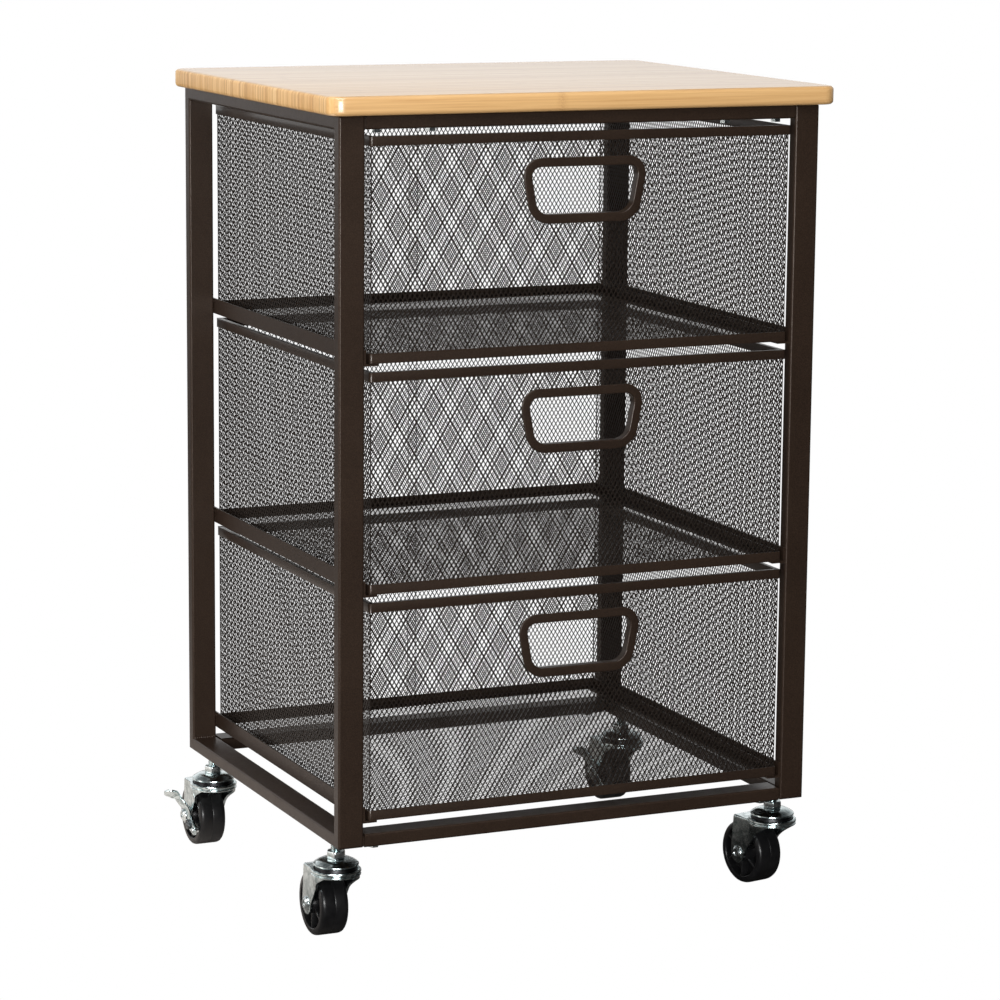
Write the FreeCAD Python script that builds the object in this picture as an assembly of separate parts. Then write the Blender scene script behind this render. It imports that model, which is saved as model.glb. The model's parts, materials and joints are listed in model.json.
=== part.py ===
import FreeCAD, Part
import math
import os

# Rolling drawer cart, in millimetres. +X is to the right, +Y to the back, +Z up.
# The floor is at zero height, and the origin is the centre of the whole cart's floor plan.

# Steel frame
frame_width = 390.0
frame_depth = 330.0
frame_height = 540.0
tube_wide = 20.0
tube_thin = 10.0
tube_wall = 1.2
tube_corner_radius = 1.5
rail_joint_gap = 1.2
spigot_length = 25.0
spigot_clearance = 0.3
frame_corner_radius = 2.0

# Bamboo top
top_thickness = 14.0
top_left_overhang = 8.0
top_right_overhang = 14.0
top_front_overhang = 5.0
top_back_overhang = 9.0
top_corner_radius = 12.0
top_edge_radius = 3.0

# Drawers
drawer_names = ("top", "middle", "bottom")
gap_under_bottom_drawer = 10.0
gap_over_top_drawer = 5.0
gap_between_drawers = 6.5
gap_beside_drawer = 4.0
gap_behind_drawer = 4.0
drawer_corner_radius = 2.0
rim_height = 7.0
rim_width = 4.0
rim_wall = 1.2
base_rim_height = 7.5
base_flange_width = 9.0
base_rim_wall = 1.2
mesh_thickness = 0.8
mesh_cell_width = 46.0
mesh_cell_height = 72.0
mesh_margin = 3.0
mesh_opening_share = 0.78

# Handle ring in each drawer front
handle_top_width = 105.0
handle_bottom_width = 87.0
handle_height = 48.5
handle_below_rim_top = 19.0
handle_band = 6.8
handle_corner_radius = 9.5
handle_stand_out = 1.2
handle_lip_wall = 1.2
handle_lip_depth = 5.5
handle_hole_clearance = 0.2

# Drawer runners
runner_leg = 12.0
runner_flange = 11.0
runner_wall = 1.5
runner_end_gap = 1.0
runner_slide_gap = 0.3

# Screws
rail_screw_radius = 2.0
rail_screw_length = 6.0
rail_screw_across_flats = 7.0
rail_screw_head_height = 2.8
rail_screw_from_end = 12.0
top_screw_radius = 2.0
top_screw_bite = 9.0
top_screw_across_flats = 7.0
top_screw_head_height = 2.8
top_screw_from_side = 75.0
screw_hole_clearance = 0.1

# Casters
caster_height = 80.0
stem_from_side = 10.0
stem_from_end = 30.0
stem_radius = 4.0
stem_depth_in_rail = 7.8
lock_nut_across_flats = 13.0
lock_nut_height = 7.5
weld_nut_height = 5.5
thread_clearance = 0.05
cap_radius = 17.5
cap_neck_radius = 8.5
cap_height = 5.0
cap_edge = 1.2
cap_wall = 2.0
kingpin_radius = 5.0
kingpin_clearance = 0.08
kingpin_head_radius = 7.5
kingpin_head_height = 1.7
crown_radius = 20.0
crown_height = 7.0
crown_wall = 2.0
crown_groove = 0.7
crown_edge = 1.0
cap_over_crown_gap = 0.6
crown_over_wheel_gap = 3.0
fork_trail = 25.0
fork_wall = 2.0
fork_leg_front = 4.0
fork_leg_back = 31.0
fork_flare = 13.0
fork_flare_height = 9.0
fork_flare_radius = 8.0
fork_eye_radius = 8.5
fork_bend_radius = 1.5
wheel_radius = 25.0
wheel_width = 22.0
wheel_hub_radius = 8.0
wheel_hub_stand_out = 0.4
wheel_rim_inner_radius = 19.5
wheel_web_thickness = 7.0
wheel_shoulder = 2.5
wheel_spoke_width = 2.0
wheel_spoke_count = 6
wheel_side_gap = 1.0
axle_radius = 3.0
axle_clearance = 0.08
axle_head_radius = 5.5
axle_head_height = 2.4

# Foot brake on the back casters
brake_wall = 1.8
brake_side_gap = 0.3
brake_boss_radius = 7.0
brake_arm_width = 12.0
brake_arm_forward = 5.0
brake_arm_bend_up = 7.0
brake_arm_lean = 6.0
brake_tab_up = 16.0
brake_tab_rise = 4.0
brake_tab_reach = 13.0
brake_pin_radius = 2.2
brake_pin_forward = 20.5
brake_pin_down = 8.0
brake_pin_head = 1.6
brake_pin_clearance = 0.5
brake_stud_radius = 3.6
brake_stud_height = 3.0
brake_stud_forward = 11.5
brake_stud_down = 5.0

# Where each caster stands, as a sign along X and along Y, and how far its fork is turned
front_right_caster_turn = 10.0
caster_places = {
    "front_left": (-1, -1, 0),
    "front_right": (1, -1, front_right_caster_turn),
    "back_left": (-1, 1, 0),
    "back_right": (1, 1, 0),
}
braked_casters = ("back_left", "back_right")

# One overrun takes every cut past the faces that it opens
cut_overrun = 1.0
full_turn = 360.0
quarter_turn = 90.0
match_tolerance = 0.001

# Sizes worked out from the ones above
half_width = frame_width / 2
half_depth = frame_depth / 2
frame_bottom = caster_height
frame_top = frame_bottom + frame_height
inner_half_width = half_width - tube_wide
cross_rail_middle_y = half_depth - tube_wide / 2
top_screw_x = half_width - top_screw_from_side
drawer_count = len(drawer_names)
drawer_room = frame_height - 2 * tube_thin - gap_under_bottom_drawer - gap_over_top_drawer
drawer_height = (drawer_room - (drawer_count - 1) * gap_between_drawers) / drawer_count
drawer_half_width = inner_half_width - gap_beside_drawer
drawer_front = -half_depth
drawer_back = half_depth - gap_behind_drawer
lowest_drawer_bottom = frame_bottom + tube_thin + gap_under_bottom_drawer
stem_x = half_width - stem_from_side
stem_y = half_depth - stem_from_end
leg_inner = wheel_width / 2 + wheel_side_gap
leg_outer = leg_inner + fork_wall
brake_outer = leg_outer + brake_side_gap + brake_wall

# The origin is moved from the frame's middle to the middle of everything that the cart covers
reach_left = max(half_width + top_left_overhang, stem_x + brake_outer + brake_arm_lean + brake_tab_reach)
reach_right = max(half_width + top_right_overhang, stem_x + crown_radius)
reach_front = half_depth + top_front_overhang
reach_back = max(half_depth + top_back_overhang, stem_y + fork_trail + wheel_radius)
frame_middle = FreeCAD.Vector((reach_left - reach_right) / 2, (reach_front - reach_back) / 2, 0)

x_axis = FreeCAD.Vector(1, 0, 0)
y_axis = FreeCAD.Vector(0, 1, 0)
z_axis = FreeCAD.Vector(0, 0, 1)
centre = FreeCAD.Vector(0, 0, 0)

parts = {}


def block(x_low, x_high, y_low, y_high, z_low, z_high):
    corner = FreeCAD.Vector(x_low, y_low, z_low)
    return Part.makeBox(x_high - x_low, y_high - y_low, z_high - z_low, corner)


def edges_along(shape, axis):
    """Straight edges of a shape that run along an axis."""
    found = []
    for edge in shape.Edges:
        if isinstance(edge.Curve, Part.Line) and edge.tangentAt(edge.FirstParameter).cross(axis).Length < match_tolerance:
            found.append(edge)
    return found


def rounded_block(x_low, x_high, y_low, y_high, z_low, z_high, radius, axis=z_axis):
    solid = block(x_low, x_high, y_low, y_high, z_low, z_high)
    return solid.makeFillet(radius, edges_along(solid, axis))


def prism_along_x(outline, x_low, x_high):
    """A solid whose outline is given as (y, z) points, from one X to another."""
    points = [FreeCAD.Vector(x_low, y, z) for y, z in outline]
    face = Part.Face(Part.makePolygon(points + points[:1]))
    return face.extrude(FreeCAD.Vector(x_high - x_low, 0, 0))


def prism_along_y(outline, y_low, y_high):
    """A solid whose outline is given as (x, z) points, from one Y to another."""
    points = [FreeCAD.Vector(x, y_low, z) for x, z in outline]
    face = Part.Face(Part.makePolygon(points + points[:1]))
    return face.extrude(FreeCAD.Vector(0, y_high - y_low, 0))


def turned_about_z(outline):
    """A solid turned about Z from (radius, z) points."""
    points = [FreeCAD.Vector(radius, 0, z) for radius, z in outline]
    face = Part.Face(Part.makePolygon(points + points[:1]))
    return face.revolve(centre, z_axis, full_turn)


def turned_about_x(outline):
    """A solid turned about X from (x, radius) points."""
    points = [FreeCAD.Vector(x, 0, radius) for x, radius in outline]
    face = Part.Face(Part.makePolygon(points + points[:1]))
    return face.revolve(centre, x_axis, full_turn)


def mirrored_in_x(shape):
    return shape.mirror(centre, x_axis)


def mirrored_in_y(shape):
    return shape.mirror(centre, y_axis)


def hexagon(across_flats, z_low, height):
    """A six-sided prism about the Z axis."""
    corner_radius = across_flats / math.sqrt(3)
    sides = 6
    points = []
    for side in range(sides):
        angle = 2 * math.pi * side / sides
        points.append(FreeCAD.Vector(corner_radius * math.cos(angle), corner_radius * math.sin(angle), z_low))
    return Part.Face(Part.makePolygon(points + points[:1])).extrude(FreeCAD.Vector(0, 0, height))


def hex_head_screw(radius, length, across_flats, head_height):
    """A screw that points up from its head, whose flat face is at zero height."""
    return hexagon(across_flats, -head_height, head_height).fuse(Part.makeCylinder(radius, length))


# Frame

def side_frame_outline():
    """The left side frame as one filled block. Its rounded corners trim the mitred tubes that meet there."""
    return rounded_block(
        -half_width, -inner_half_width, -half_depth, half_depth, frame_bottom, frame_top,
        frame_corner_radius, x_axis)


def mitred_post():
    """Front left post. Its ends are cut at 45 degrees to meet the side rails."""
    y_outer = -half_depth
    y_inner = y_outer + tube_thin
    outline = [
        (y_outer, frame_bottom),
        (y_inner, frame_bottom + tube_thin),
        (y_inner, frame_top - tube_thin),
        (y_outer, frame_top),
    ]
    bore = [
        (y_outer + tube_wall, frame_bottom + tube_wall),
        (y_inner - tube_wall, frame_bottom + tube_thin - tube_wall),
        (y_inner - tube_wall, frame_top - tube_thin + tube_wall),
        (y_outer + tube_wall, frame_top - tube_wall),
    ]
    post = prism_along_x(outline, -half_width, -inner_half_width)
    post = post.makeFillet(tube_corner_radius, edges_along(post, z_axis)).common(side_frame_outline())
    return post.cut(prism_along_x(bore, -half_width + tube_wall, -inner_half_width - tube_wall))


def side_rail(z_outer, inward):
    """Left rail of a side frame, mitred into the posts. Inward is +1 at the bottom and -1 at the top."""
    z_inner = z_outer + inward * tube_thin
    wall = inward * tube_wall
    outline = [
        (-half_depth, z_outer),
        (half_depth, z_outer),
        (half_depth - tube_thin, z_inner),
        (-half_depth + tube_thin, z_inner),
    ]
    bore = [
        (-half_depth + tube_wall, z_outer + wall),
        (half_depth - tube_wall, z_outer + wall),
        (half_depth - tube_thin + tube_wall, z_inner - wall),
        (-half_depth + tube_thin - tube_wall, z_inner - wall),
    ]
    rail = prism_along_x(outline, -half_width, -inner_half_width)
    rail = rail.makeFillet(tube_corner_radius, edges_along(rail, y_axis)).common(side_frame_outline())
    rail = rail.cut(prism_along_x(bore, -half_width + tube_wall, -inner_half_width - tube_wall))
    front_spigot = spigot(min(z_outer, z_inner))
    return rail.fuse([front_spigot, mirrored_in_y(front_spigot)])


def spigot(rail_bottom):
    """Welded peg on the left side frame. The front cross rail slides over it and rests on it."""
    half_deep = tube_wide / 2 - tube_wall - spigot_clearance
    peg = block(
        -inner_half_width, -inner_half_width + spigot_length,
        -cross_rail_middle_y - half_deep, -cross_rail_middle_y + half_deep,
        rail_bottom + tube_wall, rail_bottom + tube_thin - tube_wall - spigot_clearance,
    )
    start = FreeCAD.Vector(-inner_half_width + rail_screw_from_end, -cross_rail_middle_y, rail_bottom)
    return peg.cut(Part.makeCylinder(rail_screw_radius + screw_hole_clearance, tube_thin, start))


def bottom_side_rail():
    """Left bottom rail, with a welded nut inside over each caster stem."""
    rail = side_rail(frame_bottom, 1)
    hole_radius = stem_radius + thread_clearance
    for y in (-stem_y, stem_y):
        place = FreeCAD.Vector(-stem_x, y, 0)
        nut = hexagon(lock_nut_across_flats, frame_bottom + tube_wall, weld_nut_height).translated(place)
        hole = Part.makeCylinder(hole_radius, tube_thin, place + FreeCAD.Vector(0, 0, frame_bottom - cut_overrun))
        rail = rail.fuse(nut).cut(hole)
    return rail


def cross_rail(z_low):
    """Front rail between the side frames, open at both ends."""
    half_length = inner_half_width - rail_joint_gap
    y_low = -half_depth
    y_high = y_low + tube_wide
    z_high = z_low + tube_thin
    rail = rounded_block(-half_length, half_length, y_low, y_high, z_low, z_high, tube_corner_radius, x_axis)
    rail = rail.cut(block(
        -half_length - cut_overrun, half_length + cut_overrun,
        y_low + tube_wall, y_high - tube_wall,
        z_low + tube_wall, z_high - tube_wall,
    ))
    for x in (-inner_half_width + rail_screw_from_end, inner_half_width - rail_screw_from_end):
        radius = rail_screw_radius + screw_hole_clearance
        start = FreeCAD.Vector(x, -cross_rail_middle_y, z_low - cut_overrun)
        rail = rail.cut(Part.makeCylinder(radius, cut_overrun + 2 * tube_wall, start))
    return rail


def top_cross_rail():
    """Front top rail, with the two holes for the screws that hold the bamboo top."""
    rail = cross_rail(frame_top - tube_thin)
    for x in (-top_screw_x, top_screw_x):
        start = FreeCAD.Vector(x, -cross_rail_middle_y, frame_top - tube_thin - cut_overrun)
        rail = rail.cut(Part.makeCylinder(top_screw_radius + screw_hole_clearance, tube_thin + 2 * cut_overrun, start))
    return rail


def make_frame():
    post = mitred_post()
    parts["front_left_post"] = post
    parts["front_right_post"] = mirrored_in_x(post)
    parts["back_left_post"] = mirrored_in_y(post)
    parts["back_right_post"] = mirrored_in_x(mirrored_in_y(post))
    top_rail = side_rail(frame_top, -1)
    bottom_rail = bottom_side_rail()
    parts["left_top_rail"] = top_rail
    parts["right_top_rail"] = mirrored_in_x(top_rail)
    parts["left_bottom_rail"] = bottom_rail
    parts["right_bottom_rail"] = mirrored_in_x(bottom_rail)
    front_top = top_cross_rail()
    front_bottom = cross_rail(frame_bottom)
    parts["front_top_rail"] = front_top
    parts["back_top_rail"] = mirrored_in_y(front_top)
    parts["front_bottom_rail"] = front_bottom
    parts["back_bottom_rail"] = mirrored_in_y(front_bottom)


# Bamboo top

def make_top_panel():
    panel = rounded_block(
        -half_width - top_left_overhang, half_width + top_right_overhang,
        -half_depth - top_front_overhang, half_depth + top_back_overhang,
        frame_top, frame_top + top_thickness,
        top_corner_radius,
    )
    rim_edges = [edge for edge in panel.Edges if edge.BoundBox.ZLength < match_tolerance]
    panel = panel.makeFillet(top_edge_radius, rim_edges)
    depth = cut_overrun + top_screw_bite + screw_hole_clearance
    for x in (-top_screw_x, top_screw_x):
        for y in (-cross_rail_middle_y, cross_rail_middle_y):
            start = FreeCAD.Vector(x, y, frame_top - cut_overrun)
            panel = panel.cut(Part.makeCylinder(top_screw_radius + screw_hole_clearance, depth, start))
    parts["top_panel"] = panel


# Runners

def drawer_bottom(level):
    """Height of a drawer's underside. Level 0 is the top drawer."""
    return lowest_drawer_bottom + (drawer_count - 1 - level) * (drawer_height + gap_between_drawers)


def runner_bottom(level):
    return drawer_bottom(level) - runner_slide_gap - runner_wall


def left_runner(level):
    """Angle that a drawer slides on: a leg welded to the posts and a flange under the drawer."""
    z_low = runner_bottom(level)
    x_wall = -inner_half_width
    outline = [
        (x_wall, z_low),
        (x_wall + runner_flange, z_low),
        (x_wall + runner_flange, z_low + runner_wall),
        (x_wall + runner_wall, z_low + runner_wall),
        (x_wall + runner_wall, z_low + runner_leg),
        (x_wall, z_low + runner_leg),
    ]
    half_length = half_depth - runner_end_gap
    return prism_along_y(outline, -half_length, half_length)


def make_runners():
    for level, name in enumerate(drawer_names):
        runner = left_runner(level)
        parts["left_runner_" + name] = runner
        parts["right_runner_" + name] = mirrored_in_x(runner)


# Screws

def make_rail_screws():
    screw = hex_head_screw(
        rail_screw_radius, rail_screw_length, rail_screw_across_flats, rail_screw_head_height)
    screws = []
    for height in (frame_bottom, frame_top - tube_thin):
        for x in (-inner_half_width + rail_screw_from_end, inner_half_width - rail_screw_from_end):
            for y in (-cross_rail_middle_y, cross_rail_middle_y):
                screws.append(screw.translated(FreeCAD.Vector(x, y, height)))
    parts["rail_screws"] = Part.Compound(screws)


def make_top_screws():
    screw = hex_head_screw(
        top_screw_radius, tube_thin + top_screw_bite, top_screw_across_flats, top_screw_head_height)
    screws = []
    for x in (-top_screw_x, top_screw_x):
        for y in (-cross_rail_middle_y, cross_rail_middle_y):
            screws.append(screw.translated(FreeCAD.Vector(x, y, frame_top - tube_thin)))
    parts["top_screws"] = Part.Compound(screws)


# Drawers

def handle_outline(inset):
    """Corner points (x, z) of the handle's outline drawn in by an inset, about the handle's top middle."""
    lean = (handle_top_width - handle_bottom_width) / 2 / handle_height
    side_inset = inset * math.sqrt(1 + lean * lean)
    top_half = handle_top_width / 2 - lean * inset - side_inset
    bottom_half = handle_bottom_width / 2 + lean * inset - side_inset
    return [(-top_half, -inset), (top_half, -inset), (bottom_half, inset - handle_height), (-bottom_half, inset - handle_height)]


def handle_prism(inset, y_low, y_high):
    """The handle's outline, drawn in by an inset, as a solid with rounded corners."""
    solid = prism_along_y(handle_outline(inset), y_low, y_high)
    return solid.makeFillet(handle_corner_radius - inset, edges_along(solid, y_axis))


def handle_ring():
    """Pressed ring: a band over the mesh and a lip turned back through the hole."""
    mesh_face = base_rim_wall
    y_face = mesh_face - handle_stand_out
    lip_end = mesh_face + handle_lip_depth
    band = handle_prism(0, y_face, mesh_face)
    lip = handle_prism(handle_band - handle_lip_wall, y_face, lip_end)
    opening = handle_prism(handle_band, y_face - cut_overrun, lip_end + cut_overrun)
    return band.fuse(lip).cut(opening).removeSplitter()


def upright_face(outline):
    """A flat face in the XZ plane from (x, z) corner points."""
    points = [FreeCAD.Vector(x, 0, z) for x, z in outline]
    return Part.Face(Part.makePolygon(points + points[:1]))


def upright_rectangle(half_wide, z_low, z_high):
    return upright_face([(-half_wide, z_low), (half_wide, z_low), (half_wide, z_high), (-half_wide, z_high)])


def mesh_wall(half_wide, z_low, z_high, keep_clear=None):
    """Upright sheet with staggered diamond openings between its rims. Its front face is at Y zero."""
    field_half = half_wide - mesh_margin
    field_low = base_rim_height + mesh_margin
    field_high = drawer_height - rim_height - mesh_margin
    columns = max(round(2 * field_half / mesh_cell_width), 1)
    rows = max(round((field_high - field_low) / mesh_cell_height), 1)
    pitch_x = 2 * field_half / columns
    pitch_z = (field_high - field_low) / rows
    half_x = pitch_x * mesh_opening_share / 2
    half_z = pitch_z * mesh_opening_share / 2
    openings = []
    for column in range(2 * columns + 1):
        for row in range(2 * rows + 1):
            if (column + row) % 2 == 1:
                x = -field_half + column * pitch_x / 2
                z = field_low + row * pitch_z / 2
                openings.append(upright_face([(x - half_x, z), (x, z - half_z), (x + half_x, z), (x, z + half_z)]))
    field = upright_rectangle(field_half, field_low, field_high)
    if keep_clear:
        field = field.cut(keep_clear)
    sheet = upright_rectangle(half_wide, z_low, z_high)
    sheet = sheet.cut(field.common(Part.Compound(openings)))
    return sheet.extrude(FreeCAD.Vector(0, mesh_thickness, 0))


def drawer_shapes():
    """The pieces of one drawer, with its underside at zero height."""
    half_wide = drawer_half_width
    deep_middle = (drawer_front + drawer_back) / 2
    wall_bottom = base_rim_wall + mesh_thickness
    wall_top = drawer_height - rim_wall
    mesh_front = drawer_front + base_rim_wall
    mesh_back = drawer_back - base_rim_wall
    mesh_side = half_wide - base_rim_wall

    def plan_block(inset, z_low, z_high):
        """The drawer's plan drawn in by an inset, with its corners rounded as far as the inset leaves them."""
        box = (-half_wide + inset, half_wide - inset, drawer_front + inset, drawer_back - inset, z_low, z_high)
        if inset < drawer_corner_radius:
            return rounded_block(*box, drawer_corner_radius - inset)
        return block(*box)

    base_rim = plan_block(0, 0, base_rim_height)
    base_rim = base_rim.cut(plan_block(base_rim_wall, base_rim_wall, base_rim_height + cut_overrun))
    base_rim = base_rim.cut(plan_block(base_flange_width, -cut_overrun, base_rim_wall + cut_overrun))

    rim_bottom = drawer_height - rim_height
    slot_top = drawer_height - rim_wall
    top_rim = plan_block(0, rim_bottom, drawer_height)
    top_rim = top_rim.cut(plan_block(rim_width, rim_bottom - cut_overrun, drawer_height + cut_overrun))
    slot = plan_block(rim_wall, rim_bottom - cut_overrun, slot_top)
    slot = slot.cut(plan_block(rim_width - rim_wall, rim_bottom - 2 * cut_overrun, slot_top + cut_overrun))
    top_rim = top_rim.cut(slot)

    floor = plan_block(base_rim_wall, base_rim_wall, wall_bottom)

    handle_top = drawer_height - handle_below_rim_top
    handle = handle_ring().translated(FreeCAD.Vector(0, drawer_front, handle_top))
    hole_inset = handle_band - handle_lip_wall - handle_hole_clearance
    hole = handle_prism(hole_inset, drawer_front, mesh_front + mesh_thickness + cut_overrun)
    hole = hole.translated(FreeCAD.Vector(0, 0, handle_top))
    covered = upright_face([(x, z + handle_top) for x, z in handle_outline(0)])

    shell = plan_block(base_rim_wall, wall_bottom, wall_top)
    shell = shell.cut(plan_block(base_rim_wall + mesh_thickness, wall_bottom - cut_overrun, wall_top + cut_overrun))
    flat_half = half_wide - drawer_corner_radius
    front_bend = shell.common(block(
        flat_half, half_wide, drawer_front, drawer_front + drawer_corner_radius, wall_bottom, wall_top))
    back_bend = shell.common(block(
        flat_half, half_wide, drawer_back - drawer_corner_radius, drawer_back, wall_bottom, wall_top))

    front = mesh_wall(flat_half, wall_bottom, wall_top, covered)
    front = front.translated(FreeCAD.Vector(0, mesh_front, 0)).cut(hole)
    front = front.fuse([front_bend, mirrored_in_x(front_bend)])
    back = mesh_wall(flat_half, wall_bottom, wall_top)
    back = back.translated(FreeCAD.Vector(0, mesh_back - mesh_thickness, 0))
    back = back.fuse([back_bend, mirrored_in_x(back_bend)])
    side = mesh_wall((drawer_back - drawer_front) / 2 - drawer_corner_radius, wall_bottom, wall_top)
    side.rotate(centre, z_axis, quarter_turn)
    left_side = side.translated(FreeCAD.Vector(-mesh_side + mesh_thickness, deep_middle, 0))
    right_side = mirrored_in_x(left_side)

    return {
        "front_mesh": front,
        "back_mesh": back,
        "side_meshes": Part.Compound([left_side, right_side]),
        "floor_mesh": floor,
        "top_rim": top_rim,
        "base_rim": base_rim,
        "handle": handle,
    }


def make_drawers():
    shapes = drawer_shapes()
    for level, name in enumerate(drawer_names):
        place = FreeCAD.Vector(0, 0, drawer_bottom(level))
        for piece, shape in shapes.items():
            parts[name + "_drawer_" + piece] = shape.translated(place)


# Casters. Each is drawn about its stem's axis, with its wheel trailing along +Y.

def caster_levels():
    """Heights above the floor of the fork's crown and of the cap over it."""
    crown_low = 2 * wheel_radius + crown_over_wheel_gap
    crown_high = crown_low + crown_height
    cap_low = crown_high + cap_over_crown_gap
    cap_high = cap_low + cap_height
    return crown_low, crown_high, cap_low, cap_high


def caster_stem():
    """Threaded stem, domed cap and kingpin, riveted under the fork's crown."""
    crown_low, crown_high, cap_low, cap_high = caster_levels()
    stem_top = frame_bottom + stem_depth_in_rail
    return turned_about_z([
        (0, stem_top),
        (stem_radius, stem_top),
        (stem_radius, cap_high),
        (cap_neck_radius, cap_high),
        (cap_radius - cap_wall, cap_low + cap_edge + cap_edge),
        (cap_radius, cap_low + cap_edge),
        (cap_radius, cap_low),
        (cap_radius - cap_wall, cap_low),
        (cap_neck_radius, cap_high - cap_wall),
        (kingpin_radius, cap_high - cap_wall),
        (kingpin_radius, crown_low - kingpin_clearance),
        (kingpin_head_radius, crown_low - kingpin_clearance),
        (kingpin_radius, crown_low - kingpin_clearance - kingpin_head_height),
        (0, crown_low - kingpin_clearance - kingpin_head_height),
    ])


def lock_nut():
    cap_high = caster_levels()[-1]
    nut = hexagon(lock_nut_across_flats, cap_high, lock_nut_height)
    hole = Part.makeCylinder(stem_radius + thread_clearance, lock_nut_height, FreeCAD.Vector(0, 0, cap_high))
    return nut.cut(hole)


def crown():
    """Grooved dish at the top of the fork."""
    crown_low, crown_high, cap_low, cap_high = caster_levels()
    bore = kingpin_radius + kingpin_clearance
    middle = (crown_low + crown_high) / 2
    return turned_about_z([
        (bore, crown_low),
        (crown_radius - crown_edge, crown_low),
        (crown_radius, crown_low + crown_edge),
        (crown_radius, middle - crown_groove),
        (crown_radius - crown_groove, middle),
        (crown_radius, middle + crown_groove),
        (crown_radius, crown_high - crown_edge),
        (crown_radius - crown_edge, crown_high),
        (crown_radius - crown_wall, crown_high),
        (crown_radius - crown_wall, crown_low + crown_wall),
        (bore, crown_low + crown_wall),
    ])


def fork_leg(top):
    """Left leg, flared under the crown in front and tapered down to a round eye at the axle."""
    waist = top - fork_wall - fork_flare_height
    outline = [
        (fork_leg_front - fork_flare, top),
        (fork_leg_back, top),
        (fork_trail + fork_eye_radius, wheel_radius),
        (fork_trail - fork_eye_radius, wheel_radius),
        (fork_leg_front, waist),
        (fork_leg_front - fork_flare, top - fork_wall),
    ]
    leg = prism_along_x(outline, -leg_outer, -leg_inner)
    waist_edges = []
    for edge in edges_along(leg, x_axis):
        point = edge.Vertexes[0].Point
        if abs(point.y - fork_leg_front) < match_tolerance and abs(point.z - waist) < match_tolerance:
            waist_edges.append(edge)
    leg = leg.makeFillet(fork_flare_radius, waist_edges)
    start = FreeCAD.Vector(-leg_outer, fork_trail, wheel_radius)
    return leg.fuse(Part.makeCylinder(fork_eye_radius, fork_wall, start, x_axis))


def fork():
    """Pressed fork: a crown dish, a shoulder behind it and two legs bent down from the shoulder."""
    crown_low = caster_levels()[0]
    shoulder_top = crown_low + crown_wall
    shoulder = block(-leg_outer, leg_outer, 0, fork_leg_back, crown_low, shoulder_top)
    leg = fork_leg(shoulder_top)
    body = shoulder.fuse([leg, mirrored_in_x(leg)]).removeSplitter()
    bends = []
    for edge in edges_along(body, y_axis):
        box = edge.BoundBox
        if abs(abs(box.XMin) - leg_outer) < match_tolerance and abs(box.ZMin - shoulder_top) < match_tolerance:
            bends.append(edge)
    body = body.makeFillet(fork_bend_radius, bends)
    bore = kingpin_radius + kingpin_clearance
    body = body.cut(Part.makeCylinder(bore, 2 * crown_height, FreeCAD.Vector(0, 0, crown_low - crown_height)))
    body = body.fuse(crown()).removeSplitter()
    start = FreeCAD.Vector(-leg_outer, fork_trail, wheel_radius)
    return body.cut(Part.makeCylinder(axle_radius, 2 * leg_outer, start, x_axis))


def axle(left_end):
    """Riveted axle through both legs. Left end is how far its left head stands from the middle."""
    dome = axle_head_radius / 2
    solid = turned_about_x([
        (-left_end - axle_head_height, 0),
        (-left_end - axle_head_height, dome),
        (-left_end, axle_head_radius),
        (-left_end, axle_radius),
        (leg_outer, axle_radius),
        (leg_outer, axle_head_radius),
        (leg_outer + axle_head_height, dome),
        (leg_outer + axle_head_height, 0),
    ])
    return solid.translated(FreeCAD.Vector(0, fork_trail, wheel_radius))


def wheel():
    """Moulded wheel with a rounded tread, a web between rim and hub, and spokes on both sides."""
    half = wheel_width / 2
    hub_half = half + wheel_hub_stand_out
    web_half = wheel_web_thickness / 2
    bore = axle_radius + axle_clearance
    shoulder_middle = wheel_shoulder * (1 - math.sqrt(1 / 2))
    right_side = [
        (half - wheel_shoulder, wheel_radius),
        (half - shoulder_middle, wheel_radius - shoulder_middle),
        (half, wheel_radius - wheel_shoulder),
        (half, wheel_rim_inner_radius),
        (web_half, wheel_rim_inner_radius),
        (web_half, wheel_hub_radius),
        (hub_half, wheel_hub_radius),
        (hub_half, bore),
    ]
    left_side = [(-x, radius) for x, radius in reversed(right_side)]
    solid = turned_about_x(left_side + right_side)
    spoke_half = half - wheel_side_gap
    root = (wheel_hub_radius + bore) / 2
    spokes = []
    for number in range(wheel_spoke_count):
        spoke = block(
            -spoke_half, spoke_half, -wheel_spoke_width / 2, wheel_spoke_width / 2,
            root, (wheel_rim_inner_radius + wheel_radius) / 2)
        spoke.rotate(centre, x_axis, full_turn * number / wheel_spoke_count)
        spokes.append(spoke)
    solid = solid.fuse(spokes).removeSplitter()
    return solid.translated(FreeCAD.Vector(0, fork_trail, wheel_radius))


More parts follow.
